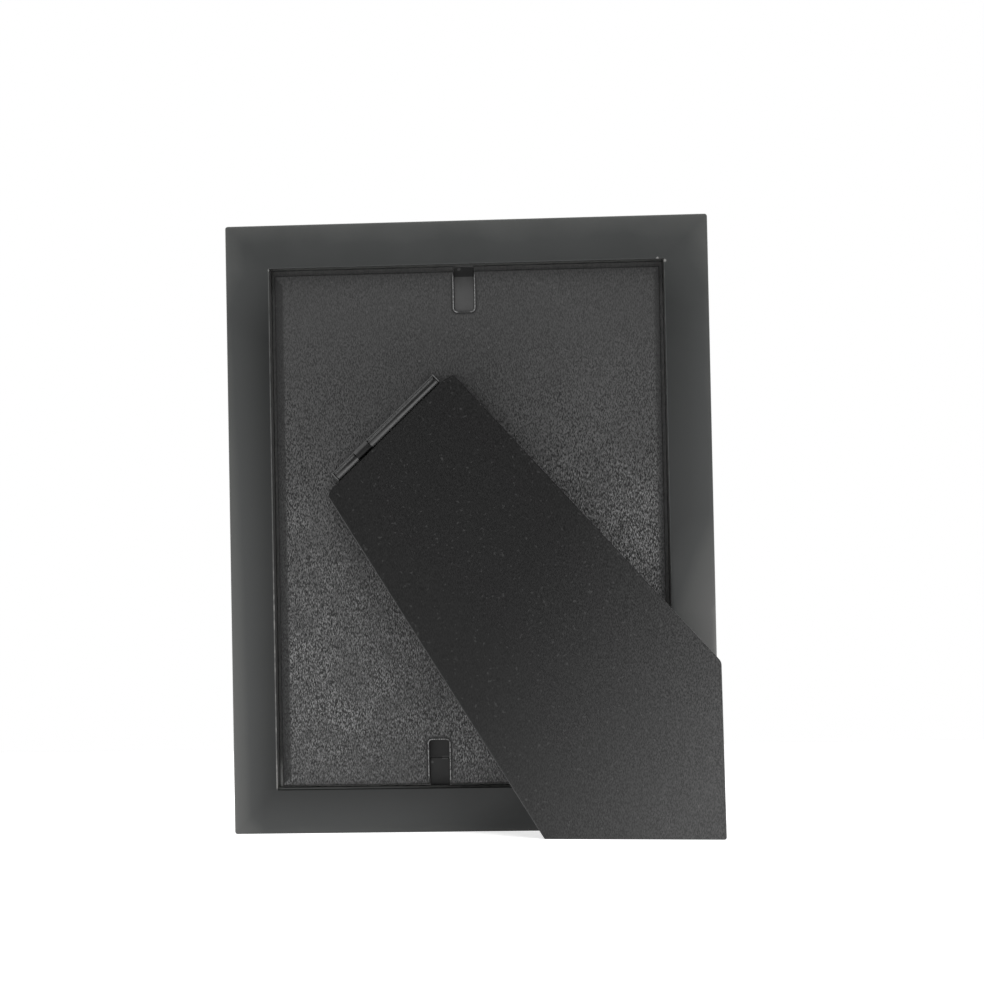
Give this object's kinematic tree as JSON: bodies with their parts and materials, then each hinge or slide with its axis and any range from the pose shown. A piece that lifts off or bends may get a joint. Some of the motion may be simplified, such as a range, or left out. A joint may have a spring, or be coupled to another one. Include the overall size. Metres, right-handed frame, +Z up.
{
  "type": "easel back photo frame",
  "caption": "Black tabletop photo frame with a glazed front, a covered backing held by bending tabs, and a slanted easel leg on a barrel hinge.",
  "frame": {"origin": "middle of the footprint, on the table that the frame stands on", "axes": "+Z up, -Y the way the picture faces, +Y towards the easel leg, +X to the right seen from the front"},
  "size_m": [0.1904, 0.0708, 0.2389],
  "materials": {
    "lacquer": "satin black lacquer over sanded fibreboard",
    "nail_steel": "bright",
    "glass": "clear float glass",
    "print_paper": "matt photo paper",
    "grey_card": "uncoated grey card",
    "backing_ply": "black dyed board",
    "cover_paper": "embossed black paper",
    "tab_steel": "satin black",
    "hinge_steel": "satin black",
    "leg_board": "black dyed board",
    "leg_paper": "embossed black paper"
  },
  "bodies": {
    "frame": {"top_rail": "lacquer", "bottom_rail": "lacquer", "left_rail": "lacquer", "right_rail": "lacquer", "corner_v_nails": "nail_steel", "glass_pane": "glass", "photo_print": "print_paper", "filler_card": "grey_card", "backing_inner_ply": "backing_ply", "backing_outer_ply": "backing_ply", "backing_cover_paper": "cover_paper", "top_tab_root": "tab_steel", "bottom_tab_root": "tab_steel", "hinge_backing_leaf": "hinge_steel", "hinge_pin": "hinge_steel"},
    "leg": {"leg_board": "leg_board", "leg_cover_paper": "leg_paper", "leg_lining_paper": "leg_paper", "hinge_leg_leaf": "hinge_steel"},
    "top_tab": {"top_tab_tongue": "tab_steel"},
    "bottom_tab": {"bottom_tab_tongue": "tab_steel"}
  },
  "joints": [
    {"name": "leg_swing", "type": "hinge", "parent": "frame", "child": "leg", "pos_m": [0.0323, 0.00542, 0.15626], "axis": [-0.729, 0.1177, 0.6744], "range_deg": [0, 14.6]},
    {"name": "top_tab_bend", "type": "hinge", "parent": "frame", "child": "top_tab", "pos_m": [0.0009, 0.0126, 0.21947], "axis": [1, 0, 0], "range_deg": [0, 80]},
    {"name": "bottom_tab_bend", "type": "hinge", "parent": "frame", "child": "bottom_tab", "pos_m": [0.0141, -0.02248, 0.01851], "axis": [-1, 0, 0], "range_deg": [0, 80]}
  ]
}
